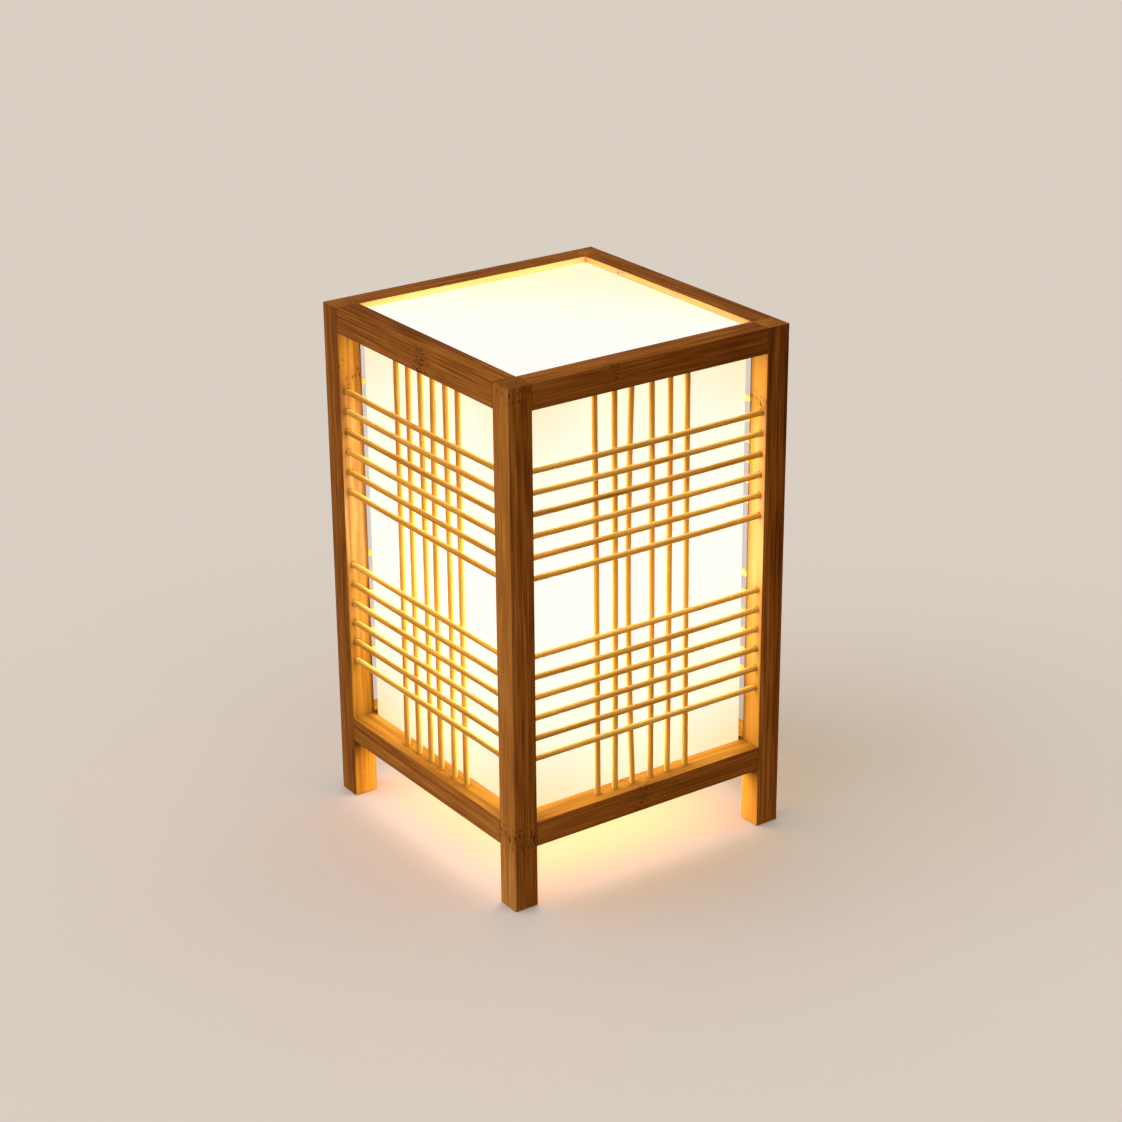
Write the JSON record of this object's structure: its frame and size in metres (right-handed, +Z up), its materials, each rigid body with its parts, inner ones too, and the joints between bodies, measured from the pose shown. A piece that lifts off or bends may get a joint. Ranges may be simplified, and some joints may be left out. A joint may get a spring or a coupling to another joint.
{
  "type": "bamboo table lamp",
  "caption": "Square bamboo table lamp with stick lattices in its sides, an opal shade inside them, a drop-in opal top and a lamp holder with a screw-cap bulb on a bar across its open bottom.",
  "frame": {"origin": "on the floor under the middle of the lamp", "axes": "+Z up, -Y towards the front, +X to the right as seen from the front"},
  "size_m": [0.182, 0.182, 0.3],
  "materials": {
    "bamboo": "satin stained bamboo",
    "stick": "satin bamboo stick",
    "opal_sheet": "opal sheet, lit from inside",
    "porcelain": "glazed",
    "brass": "bright",
    "steel": "plain",
    "nylon": "moulded black",
    "bulb_white": "satin",
    "aluminium": "satin",
    "bulb_opal": "opal, lit"
  },
  "bodies": {
    "lamp": {"post_front_left": "bamboo", "post_front_right": "bamboo", "post_back_right": "bamboo", "post_back_left": "bamboo", "top_rail_front": "bamboo", "top_rail_right": "bamboo", "top_rail_back": "bamboo", "top_rail_left": "bamboo", "bottom_rail_front": "bamboo", "bottom_rail_right": "bamboo", "bottom_rail_back": "bamboo", "bottom_rail_left": "bamboo", "lattice_front": "stick", "lattice_right": "stick", "lattice_back": "stick", "lattice_left": "stick", "shade_front": "opal_sheet", "shade_right": "opal_sheet", "shade_back": "opal_sheet", "shade_left": "opal_sheet", "holder_bar": "bamboo", "cord_grommet": "nylon", "holder_body": "porcelain", "holder_shell": "brass", "holder_contact": "brass", "holder_screw_left": "steel", "holder_screw_right": "steel"},
    "top": {"top_panel": "opal_sheet"},
    "bulb": {"bulb_tip": "brass", "bulb_insulator": "nylon", "bulb_cap": "aluminium", "bulb_housing": "bulb_white", "bulb_board": "aluminium", "bulb_globe": "bulb_opal"}
  },
  "joints": [
    {"name": "top_panel_lift", "type": "slide", "parent": "lamp", "child": "top", "axis": [0, 0, 1], "range_m": [0, 0.04]},
    {"name": "bulb_turn", "type": "hinge", "parent": "lamp", "child": "bulb", "pos_m": [0, 0, 0.0647], "axis": [0, 0, 1], "range_deg": [0, 1260]}
  ]
}
